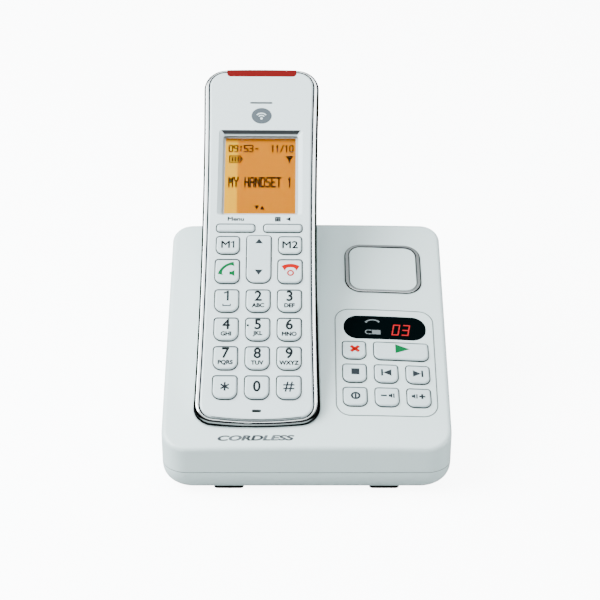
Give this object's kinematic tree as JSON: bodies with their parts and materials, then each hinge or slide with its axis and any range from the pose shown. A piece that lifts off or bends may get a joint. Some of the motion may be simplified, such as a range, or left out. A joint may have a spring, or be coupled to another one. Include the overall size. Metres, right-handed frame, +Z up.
{
  "type": "cordless telephone with base station",
  "caption": "Cordless phone: a slim handset with a lit display and keypad leans in the charging cradle of a wedge-shaped base with answering-machine keys, message display and locator button.",
  "frame": {"origin": "on the desk surface, under the middle of the bounding box of the base with its handset in the cradle", "axes": "+Z up; -Y towards the user, the low front edge of the base; +X to the user's right"},
  "size_m": [0.113, 0.1472, 0.1215],
  "materials": {
    "white_casing": "satin white injection-moulded plastic",
    "white_handset": "glossy white injection-moulded plastic",
    "white_keys": "satin white key plastic",
    "chrome_trim": "bright plated plastic",
    "red_lens": "translucent red plastic",
    "display_lens": "clear window over an amber backlit display",
    "dark_window": "smoked black window",
    "grey_badge": "grey printed badge",
    "black_rubber": "matt black rubber",
    "mat_rubber": "translucent silicone rubber",
    "board_green": "green glass-fibre circuit board",
    "black_plastic": "matt black moulded plastic",
    "steel": "zinc plated steel",
    "spring_brass": "gold plated contact metal",
    "cell_wrap": "shrink-wrapped cell"
  },
  "bodies": {
    "base": {"base_upper_casing": "white_casing", "base_lower_casing": "white_casing", "rubber_feet": "black_rubber", "base_screws": "steel", "page_ring": "chrome_trim", "base_display_window": "dark_window", "base_key_mat": "mat_rubber", "base_circuit_board": "board_green", "message_digit_module": "black_plastic", "loudspeaker": "black_plastic", "line_socket": "black_plastic", "power_inlet": "black_plastic", "contact_holder": "black_plastic"},
    "handset": {"handset_rear_shell": "white_handset", "handset_front_shell": "white_handset", "handset_trim_band": "chrome_trim", "ring_indicator_lens": "red_lens", "handset_window": "display_lens", "lcd_module": "grey_badge", "face_badge": "grey_badge", "handset_key_mat": "mat_rubber", "handset_circuit_board": "board_green", "earpiece_capsule": "black_plastic", "microphone_capsule": "steel", "ringer_sounder": "black_plastic", "battery_cells": "cell_wrap", "battery_contacts": "steel", "charge_pads": "spring_brass", "handset_screws": "steel"},
    "key_star": {"key_star": "white_keys"},
    "key_zero": {"key_zero": "white_keys"},
    "key_hash": {"key_hash": "white_keys"},
    "key_seven": {"key_seven": "white_keys"},
    "key_eight": {"key_eight": "white_keys"},
    "key_nine": {"key_nine": "white_keys"},
    "key_four": {"key_four": "white_keys"},
    "key_five": {"key_five": "white_keys"},
    "key_six": {"key_six": "white_keys"},
    "key_one": {"key_one": "white_keys"},
    "key_two": {"key_two": "white_keys"},
    "key_three": {"key_three": "white_keys"},
    "talk_key": {"talk_key": "white_keys"},
    "end_key": {"end_key": "white_keys"},
    "memory_one_key": {"memory_one_key": "white_keys"},
    "memory_two_key": {"memory_two_key": "white_keys"},
    "soft_left_key": {"soft_left_key": "white_keys"},
    "soft_right_key": {"soft_right_key": "white_keys"},
    "navigation_rocker": {"navigation_rocker": "white_keys"},
    "battery_cover": {"battery_cover": "white_handset"},
    "erase_key": {"erase_key": "white_keys"},
    "play_key": {"play_key": "white_keys"},
    "stop_key": {"stop_key": "white_keys"},
    "skip_back_key": {"skip_back_key": "white_keys"},
    "skip_forward_key": {"skip_forward_key": "white_keys"},
    "answer_on_key": {"answer_on_key": "white_keys"},
    "volume_down_key": {"volume_down_key": "white_keys"},
    "volume_up_key": {"volume_up_key": "white_keys"},
    "locator_button": {"locator_button": "white_casing"},
    "charge_contact_left": {"charge_contact_left": "spring_brass"},
    "charge_contact_right": {"charge_contact_right": "spring_brass"}
  },
  "joints": [
    {"name": "handset_lift", "type": "slide", "parent": "base", "child": "handset", "axis": [0, -0.5878, 0.809], "range_m": [0, 0.1]},
    {"name": "key_star_press", "type": "slide", "parent": "handset", "child": "key_star", "axis": [0, 0.5878, -0.809], "range_m": [0, 0.0009], "stiffness_N_per_m": 300, "springref_m": -0.001},
    {"name": "key_zero_press", "type": "slide", "parent": "handset", "child": "key_zero", "axis": [0, 0.5878, -0.809], "range_m": [0, 0.0009], "stiffness_N_per_m": 300, "springref_m": -0.001},
    {"name": "key_hash_press", "type": "slide", "parent": "handset", "child": "key_hash", "axis": [0, 0.5878, -0.809], "range_m": [0, 0.0009], "stiffness_N_per_m": 300, "springref_m": -0.001},
    {"name": "key_seven_press", "type": "slide", "parent": "handset", "child": "key_seven", "axis": [0, 0.5878, -0.809], "range_m": [0, 0.0009], "stiffness_N_per_m": 300, "springref_m": -0.001},
    {"name": "key_eight_press", "type": "slide", "parent": "handset", "child": "key_eight", "axis": [0, 0.5878, -0.809], "range_m": [0, 0.0009], "stiffness_N_per_m": 300, "springref_m": -0.001},
    {"name": "key_nine_press", "type": "slide", "parent": "handset", "child": "key_nine", "axis": [0, 0.5878, -0.809], "range_m": [0, 0.0009], "stiffness_N_per_m": 300, "springref_m": -0.001},
    {"name": "key_four_press", "type": "slide", "parent": "handset", "child": "key_four", "axis": [0, 0.5878, -0.809], "range_m": [0, 0.0009], "stiffness_N_per_m": 300, "springref_m": -0.001},
    {"name": "key_five_press", "type": "slide", "parent": "handset", "child": "key_five", "axis": [0, 0.5878, -0.809], "range_m": [0, 0.0009], "stiffness_N_per_m": 300, "springref_m": -0.001},
    {"name": "key_six_press", "type": "slide", "parent": "handset", "child": "key_six", "axis": [0, 0.5878, -0.809], "range_m": [0, 0.0009], "stiffness_N_per_m": 300, "springref_m": -0.001},
    {"name": "key_one_press", "type": "slide", "parent": "handset", "child": "key_one", "axis": [0, 0.5878, -0.809], "range_m": [0, 0.0009], "stiffness_N_per_m": 300, "springref_m": -0.001},
    {"name": "key_two_press", "type": "slide", "parent": "handset", "child": "key_two", "axis": [0, 0.5878, -0.809], "range_m": [0, 0.0009], "stiffness_N_per_m": 300, "springref_m": -0.001},
    {"name": "key_three_press", "type": "slide", "parent": "handset", "child": "key_three", "axis": [0, 0.5878, -0.809], "range_m": [0, 0.0009], "stiffness_N_per_m": 300, "springref_m": -0.001},
    {"name": "talk_key_press", "type": "slide", "parent": "handset", "child": "talk_key", "axis": [0, 0.5878, -0.809], "range_m": [0, 0.0009], "stiffness_N_per_m": 300, "springref_m": -0.001},
    {"name": "end_key_press", "type": "slide", "parent": "handset", "child": "end_key", "axis": [0, 0.5878, -0.809], "range_m": [0, 0.0009], "stiffness_N_per_m": 300, "springref_m": -0.001},
    {"name": "memory_one_key_press", "type": "slide", "parent": "handset", "child": "memory_one_key", "axis": [0, 0.5878, -0.809], "range_m": [0, 0.0009], "stiffness_N_per_m": 300, "springref_m": -0.001},
    {"name": "memory_two_key_press", "type": "slide", "parent": "handset", "child": "memory_two_key", "axis": [0, 0.5878, -0.809], "range_m": [0, 0.0009], "stiffness_N_per_m": 300, "springref_m": -0.001},
    {"name": "soft_left_key_press", "type": "slide", "parent": "handset", "child": "soft_left_key", "axis": [0, 0.5878, -0.809], "range_m": [0, 0.0009], "stiffness_N_per_m": 300, "springref_m": -0.001},
    {"name": "soft_right_key_press", "type": "slide", "parent": "handset", "child": "soft_right_key", "axis": [0, 0.5878, -0.809], "range_m": [0, 0.0009], "stiffness_N_per_m": 300, "springref_m": -0.001},
    {"name": "navigation_rock", "type": "hinge", "parent": "handset", "child": "navigation_rocker", "pos_m": [-0.01914, -0.00756, 0.06733], "axis": [1, -0.0042, -0.0031], "range_deg": [-2.2, 2.2], "stiffness_Nm_per_rad": 0.05},
    {"name": "battery_cover_slide", "type": "slide", "parent": "handset", "child": "battery_cover", "axis": [-0.0052, -0.809, -0.5878], "range_m": [0, 0.008]},
    {"name": "erase_key_press", "type": "slide", "parent": "base", "child": "erase_key", "axis": [-0.0346, 0.3477, -0.937], "range_m": [0, 0.0008], "stiffness_N_per_m": 300, "springref_m": -0.001},
    {"name": "play_key_press", "type": "slide", "parent": "base", "child": "play_key", "axis": [-0.0686, 0.3418, -0.9373], "range_m": [0, 0.0008], "stiffness_N_per_m": 300, "springref_m": -0.001},
    {"name": "stop_key_press", "type": "slide", "parent": "base", "child": "stop_key", "axis": [-0.0312, 0.3607, -0.9322], "range_m": [0, 0.0008], "stiffness_N_per_m": 300, "springref_m": -0.001},
    {"name": "skip_back_key_press", "type": "slide", "parent": "base", "child": "skip_back_key", "axis": [-0.0517, 0.3543, -0.9337], "range_m": [0, 0.0008], "stiffness_N_per_m": 300, "springref_m": -0.001},
    {"name": "skip_forward_key_press", "type": "slide", "parent": "base", "child": "skip_forward_key", "axis": [-0.0721, 0.3448, -0.9359], "range_m": [0, 0.0008], "stiffness_N_per_m": 300, "springref_m": -0.001},
    {"name": "answer_on_key_press", "type": "slide", "parent": "base", "child": "answer_on_key", "axis": [-0.0257, 0.3735, -0.9273], "range_m": [0, 0.0008], "stiffness_N_per_m": 300, "springref_m": -0.001},
    {"name": "volume_down_key_press", "type": "slide", "parent": "base", "child": "volume_down_key", "axis": [-0.0426, 0.3644, -0.9303], "range_m": [0, 0.0008], "stiffness_N_per_m": 300, "springref_m": -0.001},
    {"name": "volume_up_key_press", "type": "slide", "parent": "base", "child": "volume_up_key", "axis": [-0.0594, 0.3507, -0.9346], "range_m": [0, 0.0008], "stiffness_N_per_m": 300, "springref_m": -0.001},
    {"name": "locator_button_press", "type": "slide", "parent": "base", "child": "locator_button", "axis": [-0.046, 0.3055, -0.9511], "range_m": [0, 0.0008], "stiffness_N_per_m": 300, "springref_m": -0.001},
    {"name": "charge_contact_left_press", "type": "slide", "parent": "base", "child": "charge_contact_left", "axis": [0, 0.5878, -0.809], "range_m": [0, 0.001], "stiffness_N_per_m": 300, "springref_m": -0.001},
    {"name": "charge_contact_right_press", "type": "slide", "parent": "base", "child": "charge_contact_right", "axis": [0, 0.5878, -0.809], "range_m": [0, 0.001], "stiffness_N_per_m": 300, "springref_m": -0.001}
  ]
}
